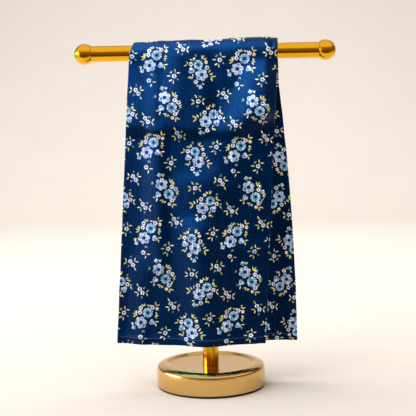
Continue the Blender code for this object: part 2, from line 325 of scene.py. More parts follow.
# columns: name, place, target, width, height, power, what it lights: the set and the stand,
# the cloth, or the cloth's gloss
LIGHTS = (
    ("window", (-0.80, -0.27, 1.40), (0.0, 0.0, 0.25), 1.8, 1.8, 28.5, "set"),
    ("ceiling", (0.20, 0.10, 1.90), (0.20, 0.10, 0.0), 2.4, 2.0, 26.5, "set"),
    ("backdrop_wash", (0.0, 0.6, 1.9), (0.0, 2.2, 0.95), 2.4, 0.8, 56.0, "set"),
    ("raking_window", (-0.45, -0.12, 0.88), (0.0, 0.0, 0.30), 0.4, 0.4, 8.5, "cloth"),
    ("raking_sky", (-0.42, -0.25, 0.86), (0.0, 0.0, 0.28), 0.4, 0.4, 37.0, "gloss"),
    ("front_card", (0.75, -1.10, 0.30), (0.03, 0.0, 0.15), 0.8, 0.8, 12.5, "cloth"),
)
boxes = {}
for *shape, lit in LIGHTS:
    gloss = lit == "gloss"
    box = soft_box(*shape, SKYLIGHT if gloss else DAYLIGHT)
    # The metal mirrors the world's own window, so a lamp shows only in the cloth's gloss.
    box.visible_glossy = gloss
    box.visible_diffuse = not gloss
    boxes[box.name] = box
print("lamps:", list(boxes))

# %% [markdown]
# ## Gold plate and rubber
#
# Polished plate is never quite clean: fine lines run along the way it was buffed, and a faint
# bloom of handling dulls it in patches. An image of scratches could show them, but noise that is
# drawn out along one axis does it at any size. One group, **polished_plate**, gives a colour, a
# roughness and a height for the Bump node. Its brown lines are partly real buffing lines and
# partly painted shade: they darken the gold as if it mirrored something dark. The tubes are a
# deep yellow gold and the foot a paler one, as each was plated apart. The post carries far more
# of the brown than the bar, as painted dark reflection, so three materials use the group with
# their own values.

# %% Shared finish: polished plate
LINES_SEEN = (0.42, 0.60)  # where in the noise a buffing line starts and is full
BLOOM_SEEN = (0.42, 0.72)
BLOOM_SCALE = 34.0
BLOOM_DULLS, LINES_DULL = 0.07, 0.05  # what each adds to the roughness
BLOOM_WARMTH = 0.06
WARM_GOLD = colour(190, 120, 50)
# painted dark reflection as well as buffing lines: this brown darkens the colour along the lines
LINE_AND_DARK_REFLECTION_BROWN = colour(96, 50, 8)

polished_plate, graph, entry, leave = new_group(
    "polished_plate",
    [
        ("Vector", "vector"),
        ("Line scale", "value"),
        ("Streaks", "value"),
        ("Roughness", "value"),
        ("Tint", "colour"),
    ],
    [("Colour", "colour"), ("Roughness", "value"), ("Height", "value")],
)
lines = graph.speckle(graph.scaled(entry["Vector"], entry["Line scale"]), 1.0, 2.0, 0.6)
bloom = graph.speckle(entry["Vector"], BLOOM_SCALE, 3.0, 0.55)
patch = graph.spread(bloom, *BLOOM_SEEN)
wear = graph.math("MULTIPLY_ADD", patch, BLOOM_DULLS, entry["Roughness"])
graph.feed(leave["Roughness"], graph.math("MULTIPLY_ADD", lines, LINES_DULL, wear))
warm = graph.mix(BLOOM_WARMTH, entry["Tint"], WARM_GOLD)
plated = graph.mix(patch, entry["Tint"], warm)
# painted shade: brown mixed into the colour along the lines, partly real buffing lines, partly dark
# reflection
streak = graph.math("MULTIPLY", graph.spread(lines, *LINES_SEEN), entry["Streaks"])
graph.feed(leave["Colour"], graph.mix(streak, plated, LINE_AND_DARK_REFLECTION_BROWN))
graph.feed(leave["Height"], lines)
print("group:", polished_plate.name)


# %% Gold and rubber materials
def gold_material(name, tint, roughness, stretch, line_scale, streaks):
    """Plate whose buffing lines are drawn out along each axis where stretch is small."""
    material, graph, shader = new_material(name, Metallic=1.0)
    plate = graph.use(
        polished_plate,
        Vector=graph.vector("MULTIPLY", graph.object_place(), stretch),
        Line_scale=line_scale,
        Streaks=streaks,
        Roughness=roughness,
        Tint=tint,
    )
    graph.feed(shader.inputs["Base Color"], plate["Colour"])
    graph.feed(shader.inputs["Roughness"], plate["Roughness"])
    graph.bump(shader, plate["Height"], distance=0.0001, strength=0.05)
    return material


TUBE_GOLD = colour(247, 184, 33)
FOOT_GOLD = colour(213, 175, 106)
# columns: name, tint, roughness, stretch along x, y and z, scale of the lines, their strength
bar_gold = gold_material("bar_gold", TUBE_GOLD, 0.09, (0.05, 1.0, 1.0), 900.0, 0.1)
# the post's strong brown lines are painted dark reflection as much as buffing lines
post_gold = gold_material("post_gold", TUBE_GOLD, 0.09, (1.0, 1.0, 0.05), 900.0, 0.7)
foot_gold = gold_material("foot_gold", FOOT_GOLD, 0.10, (1.0, 1.0, 1.0), 160.0, 0.0)

rubber, graph, shader = new_material("pad_rubber", Roughness=0.65)
pores = graph.speckle(graph.object_place(), 1400.0, 2.0)
graph.feed(shader.inputs["Base Color"], graph.mix(pores, colour(8, 7, 7), colour(18, 16, 15)))
graph.bump(shader, pores, distance=0.0002)
print("gold:", [m.name for m in (bar_gold, post_gold, foot_gold)])

# %% [markdown]
# ## The stand
#
# Bar, post, ball ends and foot are all turned or drawn, so each is one profile swept round an
# axis. Blender's Screw modifier does that, and so does a loop of rings, which also lets the
# post's top ring follow the bar it is welded to. The profiles come from the packed boxes. The
# packed solids are faceted, and polished gold would show each facet, so these finer pieces
# stand for them.

# %% Turned pieces
RING = 128  # points round a turned piece
CUT_LIMIT = 0.49  # an arc takes up less than half of the side that comes after its corner


def turned(name, profile, matrix, material, sides=RING, lift=None):
    """A closed piece turned from (radius, height) points that run down its outside.

    Its first and last points lie on the axis. What lift(row, x, y) gives is added to the
    height of a point.
    """
    verts = [(0.0, 0.0, profile[0][1])]
    for row, (radius, height) in enumerate(profile[1:-1]):
        for i in range(sides):
            turn = 2 * math.pi * i / sides
            x, y = radius * math.cos(turn), radius * math.sin(turn)
            verts.append((x, y, height + (lift(row, x, y) if lift else 0.0)))
    verts.append((0.0, 0.0, profile[-1][1]))
    last = len(verts) - 1
    rows = len(profile) - 2
    faces = []
    for i in range(sides):
        j = (i + 1) % sides
        faces.append((0, 1 + i, 1 + j))
        for row in range(rows - 1):
            a, b = 1 + row * sides, 1 + (row + 1) * sides
            faces.append((a + i, b + i, b + j, a + j))
        end = 1 + (rows - 1) * sides
        faces.append((last, end + j, end + i))
    piece = add_mesh(name, verts, faces, sharp=50)
    piece.data.materials.append(material)
    piece.matrix_world = matrix
    return piece


def rounded(corners, steps=6):
    """A profile from rows of (radius, height, rounding): each corner becomes an arc."""
    points = []
    for i, (radius, height, rounding) in enumerate(corners):
        here = Vector((radius, height))
        if rounding == 0.0:
            points.append(tuple(here))
            continue
        before = (Vector(corners[i - 1][:2]) - here).normalized()
        after = (Vector(corners[i + 1][:2]) - here).normalized()
        half = before.angle(after) / 2
        room = CUT_LIMIT * (Vector(corners[i + 1][:2]) - here).length
        cut = min(rounding / math.tan(half), room)
        start, stop = here + before * cut, here + after * cut
        for k in range(steps + 1):
            t = k / steps
            points.append(tuple(start * (1 - t) ** 2 + here * 2 * t * (1 - t) + stop * t**2))
    return points


print("points round a turned piece:", RING)


# %% Bar, ball ends and post
def disc_corners(radius, top, bottom, ease):
    """The corners of a plain rod or disc whose two edges are eased."""
    return [(0.0, top, 0.0), (radius, top, ease), (radius, bottom, ease), (0.0, bottom, 0.0)]


bar_low, bar_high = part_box("bar")
bar_radius = (bar_high.z - bar_low.z) / 2
bar_height = (bar_high.z + bar_low.z) / 2
bar_half = bar_high.x
post_low, post_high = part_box("post")
ball_low, ball_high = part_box("finial_right")
ball_radius = (ball_high.z - ball_low.z) / 2
ball_centre = ball_high.x - ball_radius
GAP = 0.0003  # between pieces that touch
TUBE_EASE = 0.0006  # the tube's ends are eased by this
BALL_STEPS = 40

along_x = Matrix.Rotation(math.radians(90), 4, "Y")
bar_profile = rounded(disc_corners(bar_radius, bar_half, -bar_half, TUBE_EASE))
bar_place = Matrix.Translation((0, 0, bar_height)) @ along_x
gold_bar = turned("gold_bar", bar_profile, bar_place, bar_gold)
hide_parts("bar")

flat = ball_low.x - ball_centre
edge = math.asin(flat / ball_radius)
quarter = math.pi / 2
ball_turns = [quarter + (edge - quarter) * i / BALL_STEPS for i in range(1, BALL_STEPS + 1)]
ball_profile = [(0.0, ball_radius)]
ball_profile += [(ball_radius * math.cos(a), ball_radius * math.sin(a)) for a in ball_turns]
ball_profile.append((0.0, flat))
balls = []
for name, side in (("left", -1), ("right", 1)):
    place = Matrix.Translation((side * ball_centre, 0, bar_height))
    tip = Matrix.Rotation(side * math.radians(90), 4, "Y")
    ball = turned(f"gold_ball_{name}", ball_profile, place @ tip, bar_gold)
    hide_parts(f"finial_{name}")
    balls.append(ball)

post_top = bar_height - bar_radius - GAP


def saddle(row, x, y):
    """The post's top edge follows the underside of the bar."""
    if row > 0:
        return 0.0
    under = math.sqrt(max((bar_radius + GAP) ** 2 - y * y, 0.0))
    return min(bar_height - under, post_high.z) - post_top


post_profile = [
    (0.0, post_top),
    (bar_radius, post_top),
    (bar_radius, bar_height - 2 * bar_radius),
    (bar_radius, post_low.z),
    (0.0, post_low.z),
]
gold_post = turned("gold_post", post_profile, Matrix.Identity(4), post_gold, lift=saddle)
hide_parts("post")
print("radius of tube and ball, mm:", [round(1000 * v, 2) for v in (bar_radius, ball_radius)])

# %% [markdown]
# The foot is a pressed lid over a weight: a flat disc in the middle, a low ring, then a rounded
# shoulder and an upright wall. What it mirrors runs along those roundings, so each corner of
# its profile has its own radius. A thin black pad shows as a dark line underneath.

# %% Foot and pad
FOOT_RING = 192  # points round the foot, which is wider than the rest
foot_low, foot_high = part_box("base")
pad_low, pad_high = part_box("base_pad")
foot_radius = foot_high.x
crest = foot_high.z
disc_height = post_low.z - GAP
DISC_RADIUS = 0.0474
RING_RADIUS = 0.0516
PAD_EASE = 0.0004
# columns: radius, height, rounding
foot_corners = [
    (0.0, disc_height, 0.0),
    (DISC_RADIUS, disc_height, 0.0030),
    (RING_RADIUS, crest - 0.00005, 0.0040),
    (foot_radius - 0.0052, crest - 0.0008, 0.0060),
    (foot_radius - 0.0005, crest - 0.0024, 0.0042),
    (foot_radius, crest - 0.0090, 0.0200),
    (foot_radius, foot_low.z, 0.0012),
    (0.0, foot_low.z, 0.0),
]
foot_profile = rounded(foot_corners)
gold_foot = turned("gold_foot", foot_profile, Matrix.Identity(4), foot_gold, sides=FOOT_RING)
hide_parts("base")

pad_profile = rounded(disc_corners(pad_high.x, pad_high.z, pad_low.z, PAD_EASE), steps=3)
foot_pad = turned("foot_pad", pad_profile, Matrix.Identity(4), rubber, sides=FOOT_RING)
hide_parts("base_pad")

print("foot, mm across:", round(2000 * foot_radius, 1))

# %% [markdown]
# ## How the cloth hangs
#
# The strip of folded cloth could be dropped on the bar by a cloth simulation, but a
# simulation never stops in one given set of folds. Placing the folds one by one is surer: each
# is a soft ridge or trough along a line, with a width and a lift. Apart from those a hanging
# panel has only a slight bow and a fine ripple. Packing creases are the level ones. The strip
# crosses the bar askew, so its edges lean one way in front and the other way behind.

# %% Sizes of the towel
TOWEL_SIZE = (0.457, 0.711)
SHEET = 0.001  # thickness of the cloth
PITCH = 0.0015  # from one layer to the next
HEM_SHEET = 0.0014
HEM_PITCH = 0.0018
HEM_DEPTH = 0.0095
SIDE_HEM = 0.006  # depth of the hems along the towel's long sides
SIDE_RISE = 0.0003  # and how much thicker they are
INNER = bar_radius + GAP  # radius of the cloth's inner face over the bar
TUCKED_SHORT = 0.0105  # the tucked layer ends this far short of the right edge
LAPPED_SHORT = 0.030  # the lapped layer ends this far short of the left edge
TUCKED_EASE = 0.0045  # the outer layers come down over these widths where a layer ends
LAPPED_EASE = 0.012
POST_BERTH = 0.013  # no fold dips in behind the bar within this of the post

# The strip that the letter fold makes of the towel's width, and how it hangs askew.
STRIP_WIDTH = (TOWEL_SIZE[0] + TUCKED_SHORT + LAPPED_SHORT) / 3
STRIP_SPREAD = 0.005  # by the hems its layers have slipped this far apart
CROWN_MIDDLE = 0.001
CROWN_DRAW = 0.002  # each folded edge draws in where it bends over the bar
FRONT_MIDDLE = -0.002
FRONT_SWING = -0.020  # the front panel leans in a straight line down to its hem
BACK_MIDDLE = 0.0
BACK_PLUMB = 0.035  # the back panel hangs straight for this far,
BACK_SWING = 0.016  # then swings the other way in an easing curve
HEM_LEVEL = 0.050  # where the swings and the spread are reached in full

# columns: height at the left corner, at the right corner, sag in the middle
FRONT_HEM = (0.0535, 0.0500, 0.0005)
BACK_HEM = (0.0510, 0.0485, 0.0015)
# columns: how far it stands out at its middle by the hem, at its edges
FRONT_BOW = (0.0070, -0.0020)
BACK_BOW = (0.0060, -0.0010)
BOW_RISE = 0.7  # below 1, a panel stands out soon after it leaves the bar
DEEPEST = -0.006  # no trough is deeper than this
CROWN_FADE = 0.06  # the lift over the bar is gone after this share of the drop
CROWN_ROUND = 0.8  # below 1, the edges draw in early on their way over the bar
print("towel, mm:", [round(1000 * v) for v in TOWEL_SIZE])

# %% Folds and creases
# columns: one end's x and height, the other end's, width to its left or below, width to its
# right or above, lift
FRONT_FOLDS = (
    (-0.110, 0.302, 0.016, 0.296, 0.013, 0.080, 0.0050),
    (0.040, 0.300, 0.084, 0.322, 0.014, 0.080, 0.0080),
    (0.034, 0.400, 0.018, 0.318, 0.030, 0.030, -0.0080),
    (0.066, 0.354, 0.066, 0.318, 0.044, 0.020, 0.0070),
    (-0.030, 0.380, -0.034, 0.330, 0.022, 0.026, 0.0020),
    (-0.054, 0.285, -0.056, 0.145, 0.019, 0.014, 0.0040),
    (0.018, 0.278, 0.022, 0.232, 0.034, 0.040, 0.0045),
    (-0.012, 0.235, -0.003, 0.030, 0.038, 0.038, 0.0045),
    (-0.008, 0.180, -0.003, 0.030, 0.036, 0.036, 0.0055),
    (-0.080, 0.140, -0.083, 0.030, 0.016, 0.018, 0.0020),
    (0.006, 0.158, 0.084, 0.160, 0.007, 0.018, 0.0020),
    (0.052, 0.180, 0.084, 0.180, 0.004, 0.008, 0.0009),
)
BACK_FOLDS = (
    (-0.030, 0.372, -0.022, 0.030, 0.036, 0.036, 0.0038),
    (0.034, 0.352, 0.046, 0.030, 0.028, 0.028, -0.0026),
    (0.078, 0.330, 0.084, 0.030, 0.018, 0.018, 0.0016),
    (-0.095, 0.290, 0.100, 0.290, 0.015, 0.015, -0.0022),
    (-0.090, 0.152, 0.110, 0.152, 0.013, 0.013, -0.0018),
)
FOLD_FADE = 0.024  # each fold dies away over this length past its ends
# columns: x, lift off the bar
CROWN_LIFT = (
    (-0.080, 0.0005),
    (-0.060, 0.0010),
    (-0.045, 0.0),
    (-0.015, 0.0010),
    (0.010, 0.0),
    (0.030, 0.0020),
    (0.080, 0.0030),
)
RIPPLE = 0.00032  # small unevenness of cotton that has been folded and hung by hand
RIPPLE_COARSE = (45, 26)  # turns of it in a metre, across and down
RIPPLE_FINE = (150, 90)
FINE_SHARE = 0.35
WAVER = 0.0004  # how far the folded edges wander
WAVER_TURNS = 40
RIPPLE_ONSET = 5  # each is there in full after 1 part in this many of the drop
WAVER_ONSET = 6
print("folds in front and behind:", len(FRONT_FOLDS), len(BACK_FOLDS))


# %% Edges and bulges of a panel
def smooth_step(value, start, stop):
    """0 up to start, 1 from stop on, and an S-curve between."""
    share = np.clip((value - start) / (stop - start), 0.0, 1.0)
    return share * share * (3 - 2 * share)


def hem_of(side):
    """A panel's hem, and the height of its lower edge in the middle."""
    hem = FRONT_HEM if side < 0 else BACK_HEM
    return hem, (hem[0] + hem[1]) / 2 - hem[2]


def panel_edges(side, level):
    """The two folded edges of a panel at one height; side is -1 in front and 1 behind."""
    drop = (bar_height - level) / (bar_height - HEM_LEVEL)
    if side < 0:
        middle = FRONT_MIDDLE + FRONT_SWING * drop
    else:
        start = bar_height - BACK_PLUMB
        share = min(max((start - level) / (start - HEM_LEVEL), 0.0), 1.0)
        middle = BACK_MIDDLE + BACK_SWING * (1 - (1 - share) ** 2)
    half = (STRIP_WIDTH + STRIP_SPREAD * drop) / 2
    return middle - half, middle + half


def fold_lift(folds, x, height):
    """What the folds and creases add at places (x, height) on a panel."""
    total = np.zeros_like(x)
    for x1, z1, x2, z2, before, after, lift in folds:
        length = math.hypot(x2 - x1, z2 - z1)
        run_x, run_z = (x2 - x1) / length, (z2 - z1) / length
        on = (x - x1) * run_x + (height - z1) * run_z
        off = (height - z1) * run_x - (x - x1) * run_z
        fade = smooth_step(on, -FOLD_FADE, 0.0) * smooth_step(length - on, -FOLD_FADE, 0.0)
        reach = np.where(off < 0, before, after)
        hump = 0.5 + 0.5 * np.cos(np.pi * np.minimum(np.abs(off) / reach, 1.0))
        total += lift * fade * hump
    return total


def ripple(x, height, side):
    """Small random unevenness, the same on each run."""
    total = np.zeros_like(x)
    layers = ((*RIPPLE_COARSE, 7.0 * side, 1.0), (*RIPPLE_FINE, 3.0 + side, FINE_SHARE))
    for across, down, slice_height, share in layers:
        spots = [Vector((a * across, b * down, slice_height)) for a, b in zip(x, height)]
        total += share * np.array([noise.noise(spot) for spot in spots])
    return RIPPLE * total


print("front hem's edges, mm:", [round(1000 * v) for v in panel_edges(-1, HEM_LEVEL)])

# %% Where a point of the cloth lies
CROWN_PATH = math.pi / 2 * (INNER + 3 * PITCH)  # from a panel's top to the top of the bar
FOLD_LEAN = 0.03  # the fold behind takes up this much more cloth for each metre down


def crown_bulge(x):
    """How far the cloth stands off the bar along its top."""
    places, lifts = zip(*CROWN_LIFT)
    return np.interp(x, places, lifts)


def panel_place(side, level, share, out):
    """Points of a hanging panel, and how far each is along the strip from the bar's top.

    side is -1 in front and 1 behind, level is the row's height, and share goes across.
    """
    bow, folds = (FRONT_BOW, FRONT_FOLDS) if side < 0 else (BACK_BOW, BACK_FOLDS)
    hem, hem_middle = hem_of(side)
    left, right = panel_edges(side, level)
    hem_here = hem[0] + (hem[1] - hem[0]) * share - hem[2] * 4 * share * (1 - share)
    drop = (bar_height - level) / (bar_height - hem_middle)
    height = bar_height - drop * (bar_height - hem_here)
    wander = [noise.noise(Vector((9.0 * e, level * WAVER_TURNS, side))) for e in (1, 2)]
    left += WAVER * wander[0] * min(drop * WAVER_ONSET, 1)
    right += WAVER * wander[1] * min(drop * WAVER_ONSET, 1)
    x = left + (right - left) * share

    across = 1 - (2 * share - 1) ** 2
    bulge = drop**BOW_RISE * (bow[1] + (bow[0] - bow[1]) * across)
    bulge = bulge + fold_lift(folds, x, height)
    bulge = bulge + ripple(x, height, side) * min(drop * RIPPLE_ONSET, 1)
    by_bar = smooth_step(height, bar_height - 3 * bar_radius, bar_height - bar_radius)
    by_post = 1 - smooth_step(np.abs(x), POST_BERTH, 2 * POST_BERTH)
    bulge = np.maximum(bulge, DEEPEST * (1 - np.maximum(by_bar, by_post)))
    bulge = np.maximum(bulge, crown_bulge(x) * (1 - smooth_step(drop, 0.0, CROWN_FADE)))
    spot = np.column_stack((x, side * (INNER + bulge + out), height))
    travel = side * (CROWN_PATH + bar_height - height)
    return spot, travel


def crown_place(turn, share, out):
    """Points over the bar: turn goes from 0 in front to 1 behind."""
    front, back = (np.array(panel_edges(side, bar_height)) for side in (-1, 1))
    reach = STRIP_WIDTH / 2 - CROWN_DRAW
    top = np.array((CROWN_MIDDLE - reach, CROWN_MIDDLE + reach))
    rise = math.sin(math.pi * turn) ** CROWN_ROUND
    left, right = front + (back - front) * turn + (top - (front + back) / 2) * rise
    x = left + (right - left) * share
    angle = math.pi * turn
    radius = INNER + out + crown_bulge(x)
    spot = np.column_stack((x, -radius * math.cos(angle), bar_height + radius * math.sin(angle)))
    travel = np.full_like(x, (2 * turn - 1) * CROWN_PATH)
    return spot, travel


print("strip, mm along one side:", round(1000 * (bar_height - FRONT_HEM[1])))

# %% [markdown]
# ## The folded sheet
#
# Seen from its end the strip is one sheet that goes back and forth three times: a tucked
# layer, the outer layer, and a layer lapped over next to the bar. Blender's Solidify could give a
# flat sheet its thickness, but hems are thicker, so both faces are worked out here. The outer
# layers drop where a layer beneath them ends, which is what draws the two long lines down the
# front. The flat towel's own measure is kept for every point, so that the print can be laid
# on the cloth as it was before folding.

# %% Places across the sheet
EDGE_MARKS = np.array((0.0, 0.0008, 0.002))  # points this far in from each folded edge
LAP_START, LAP_GAP, LAP_POINTS = 0.0055, 0.0015, 9
EASE_POINTS = 5
MIDDLE_GAP, MIDDLE_POINTS = 0.0018, 60


def across_marks(width, reach):
    """Places across the outer layer where the section has points, closer at the edges."""
    first = LAPPED_SHORT - LAPPED_EASE
    last = width - TUCKED_SHORT
    return np.concatenate(
        (
            reach + EDGE_MARKS,
            np.linspace(LAP_START, first - LAP_GAP, LAP_POINTS),
            np.linspace(first, LAPPED_SHORT, EASE_POINTS),
            np.linspace(LAPPED_SHORT + MIDDLE_GAP, last - MIDDLE_GAP, MIDDLE_POINTS),
            np.linspace(last, last + TUCKED_EASE, EASE_POINTS),
            width - reach - EDGE_MARKS[::-1],
        )
    )


def layer_step(marks, width, pitch):
    """How much higher the upper layers lie where all three overlap."""
    start = smooth_step(marks, LAPPED_SHORT - LAPPED_EASE, LAPPED_SHORT)
    stop = 1 - smooth_step(marks, width - TUCKED_SHORT, width - TUCKED_SHORT + TUCKED_EASE)
    return pitch * start * stop


def hem_band(marks, start, stop):
    """1 inside a side hem, with soft ends."""
    soft = 0.0010
    begun = smooth_step(marks, start - soft, start + soft)
    ended = smooth_step(marks, stop - soft, stop + soft)
    return begun * (1 - ended)


print("places across:", len(across_marks(STRIP_WIDTH, (PITCH + SHEET) / 2)))

# %% The sheet seen from its end
FOLD_STEPS = 8  # steps round each of the sheet's folds


def section(width, sheet, pitch):
    """The middle line of the sheet as columns: across, out, thickness, unfolded place."""
    fold = pitch / 2
    reach = fold + sheet / 2
    marks = across_marks(width, reach)
    # The marks where the tucked and the lapped layer have their free edges.
    tucked_end = len(marks) - len(EDGE_MARKS) - EASE_POINTS + 1
    lapped_end = len(EDGE_MARKS) + LAP_POINTS + EASE_POINTS - 1
    step = layer_step(marks, width, pitch)
    lapped_rise = SIDE_RISE * hem_band(marks, LAPPED_SHORT, LAPPED_SHORT + SIDE_HEM)
    tucked_rise = SIDE_RISE * hem_band(marks, width - TUCKED_SHORT - SIDE_HEM, width - TUCKED_SHORT)
    low = sheet / 2
    # The hidden layers need only every other mark, besides those at their ends.
    tucked = [i for i in range(tucked_end + 1) if i % 2 == 0 or i in (tucked_end, 1)]
    lapped_ends = (lapped_end, len(marks) - 2)
    lapped = [i for i in range(lapped_end, len(marks)) if i % 2 == 1 or i in lapped_ends]

    rows = []
    for i in reversed(tucked):
        out = low + step[i] + lapped_rise[i]
        rows.append((marks[i], out, sheet + tucked_rise[i], 2 * reach - marks[i]))
    turns = [math.pi * i / FOLD_STEPS for i in range(1, FOLD_STEPS)]
    for a in turns:
        place = (reach - fold * math.sin(a), low + fold - fold * math.cos(a))
        rows.append((*place, sheet, reach + fold * (a - math.pi)))
    for i, mark in enumerate(marks):
        lift = step[i] + lapped_rise[i] + tucked_rise[i]
        rows.append((mark, low + pitch + lift, sheet, mark))
    for a in turns:
        place = (width - reach + fold * math.sin(a), low + fold + fold * math.cos(a))
        rows.append((*place, sheet, width - reach + fold * a))
    for i in reversed(lapped):
        unfolded = 2 * (width - reach) + math.pi * fold - marks[i]
        rows.append((marks[i], low, sheet + lapped_rise[i], unfolded))
    return np.array(rows)


def two_faces(line):
    """The sheet's two faces, either side of its middle line, as (across, out) points."""
    path = line[:, :2]
    before = np.vstack((2 * path[:1] - path[1:2], path[:-1]))
    after = np.vstack((path[1:], 2 * path[-1:] - path[-2:-1]))
    mean = (path - before) / np.linalg.norm(path - before, axis=1)[:, None]
    mean += (after - path) / np.linalg.norm(after - path, axis=1)[:, None]
    mean /= np.linalg.norm(mean, axis=1)[:, None]
    offset = np.column_stack((-mean[:, 1], mean[:, 0])) * line[:, 2:3] / 2
    return path + offset, path - offset


print("points along the sheet:", len(section(STRIP_WIDTH, SHEET, PITCH)))

# %% Rows from the back hem over the bar to the front hem
STRIP_LEAN = math.radians(3.3)  # how far the strip is turned from square to the bar
PANEL_STEP = 0.0036  # from one row of points to the next
CROWN_STEPS = 18
HEM_SOFT = 0.0004  # the hem's thickness ends within this of its depth
HEM_RUN_OUT = 0.008  # the layers close up again over this length above the hem
# columns: distance from the hem's lower edge, share of the full thickness
HEM_MARKS = (
    (0.0, 0.35),
    (0.0002, 0.80),
    (0.0006, 1.0),
    (0.0022, 1.0),
    (0.0040, 1.0),
    (0.0058, 1.0),
    (0.0072, 1.0),
    (0.0078, 0.90),
    (0.0084, 1.0),
    (0.0091, 1.0),
    (0.0100, 1.0),
    (0.0120, 1.0),
)


def panel_rows(side):
    """(side, level, thickness, pitch) rows of a panel, from its hem up to the bar."""
    _, bottom = hem_of(side)
    rows = []
    heights = [mark for mark, _ in HEM_MARKS]
    count = round((bar_height - bottom - heights[-1]) / PANEL_STEP)
    heights += list(np.linspace(heights[-1], bar_height - bottom, count + 1)[1:-1])
    fullness = dict(HEM_MARKS)
    for up in heights:
        in_hem = 1 - smooth_step(up, HEM_DEPTH - HEM_SOFT, HEM_DEPTH + HEM_SOFT)
        sheet = (SHEET + (HEM_SHEET - SHEET) * in_hem) * fullness.get(up, 1.0)
        apart = 1 - smooth_step(up, HEM_DEPTH, HEM_DEPTH + HEM_RUN_OUT)
        pitch = PITCH + (HEM_PITCH - PITCH) * apart
        rows.append((side, bottom + up, float(sheet), float(pitch)))
    return rows


def row_points(side, where, sheet, pitch):
    """The points of one row, and each one's place on the flat towel."""
    if side == 0:
        width = STRIP_WIDTH - 2 * CROWN_DRAW
    else:
        left, right = panel_edges(side, where)
        width = right - left
    line = section(width, sheet, pitch)
    face, reverse = two_faces(line)
    outline = np.vstack((face, reverse[::-1]))
    unfolded = np.concatenate((line[:, 3], line[::-1, 3]))
    share = outline[:, 0] / width
    if side == 0:
        spot, travel = crown_place(where, share, outline[:, 1])
    else:
        spot, travel = panel_place(side, where, share, outline[:, 1])
    edge = spot[:, 0] - outline[:, 0]
    along_cloth = spot[:, 0] * math.sin(STRIP_LEAN) + travel * math.cos(STRIP_LEAN)
    unfolded = unfolded * (1 + FOLD_LEAN * np.maximum(travel, 0.0) / width)
    across_cloth = (edge + unfolded) * math.cos(STRIP_LEAN) - travel * math.sin(STRIP_LEAN)
    return spot, np.column_stack((across_cloth, along_cloth))


print("rows in front and behind:", len(panel_rows(-1)), len(panel_rows(1)))


# %% Build the towel
def build_towel():
    """The towel, and where each of its points lies on the flat cloth."""
    rows = panel_rows(1)
    for i in range(CROWN_STEPS + 1):
        rows.append((0, 1 - i / CROWN_STEPS, SHEET, PITCH))
    rows += panel_rows(-1)[::-1]
    made = [row_points(*row) for row in rows]
    spots = np.array([spot for spot, _ in made])
    flats = np.array([flat for _, flat in made])
    row_count, ring = spots.shape[:2]
    index = np.arange(row_count * ring).reshape(row_count, ring)
    onward = np.roll(index, -1, axis=1)
    walls = np.stack((index[:-1], onward[:-1], onward[1:], index[1:]), axis=-1).reshape(-1, 4)
    ends = []
    for edge, flip in ((index[0], False), (index[-1], True)):
        for i in range(ring // 2 - 1):
            quad = [edge[i], edge[ring - 1 - i], edge[ring - 2 - i], edge[i + 1]]
            ends.append(quad[::-1] if flip else quad)
    faces = np.vstack((walls, np.array(ends)))
    towel = add_mesh("printed_towel", spots.reshape(-1, 3).tolist(), faces.tolist(), sharp=70)
    layer = towel.data.uv_layers.new(name="flat_cloth")
    corners = np.zeros(len(towel.data.loops), np.int32)
    towel.data.loops.foreach_get("vertex_index", corners)
    layer.data.foreach_set("uv", flats.reshape(-1, 2)[corners].astype(np.float32).ravel())
    return towel, flats


towel, flat_places = build_towel()
flat_span = [round(1000 * float(v)) for v in np.ptp(flat_places.reshape(-1, 2), axis=0)]
print("towel faces:", len(towel.data.polygons), "laid flat, mm:", flat_span)

# %% [markdown]
# ## The print
#
# The pattern is an ordinary calico: bunches of garden flowers and small sprigs, tossed over a
# dark ground in a repeat of about 10 cm. It is drawn in nodes from short charts in
# millimetres. A flower is a ring of round petals over a disc, and a leaf is a lens. To place
# many copies cheaply, each point of the cloth finds the nearest bunch and the nearest sprig,
# turns into their own frame, and draws each kind of them only once.

# %% Flower and leaf groups
EDGE_SOFT = 0.10  # how soft a printed edge is, in millimetres

# A flower is a ring of round petals over a disc. Reach, petal and fill are shares of its radius.
flower_group, graph, entry, leave = new_group(
    "printed_flower",
    [
        ("Vector", "vector"),
        ("Centre", "vector"),
        ("Radius", "value"),
        ("Petals", "value"),
        ("Reach", "value"),
        ("Petal", "value"),
        ("Fill", "value"),
        ("Turn", "value"),
    ],
    [("Cover", "value"), ("Ring", "value"), ("Number", "value"), ("Rim", "value")],
)
from_centre = graph.vector("SUBTRACT", entry["Vector"], entry["Centre"])
ring = graph.math("DIVIDE", graph.vector("LENGTH", from_centre), entry["Radius"])
parts = graph.axes(from_centre)
angle = graph.math("ARCTAN2", parts["Y"], parts["X"])
petal_rate = graph.math("DIVIDE", entry["Petals"], 2 * math.pi)
count = graph.math("MULTIPLY_ADD", angle, petal_rate, entry["Turn"])
off_middle = graph.math("SUBTRACT", graph.math("FRACT", count), 0.5)
swing = graph.math("MULTIPLY", graph.math("DIVIDE", off_middle, entry["Petals"]), 2 * math.pi)
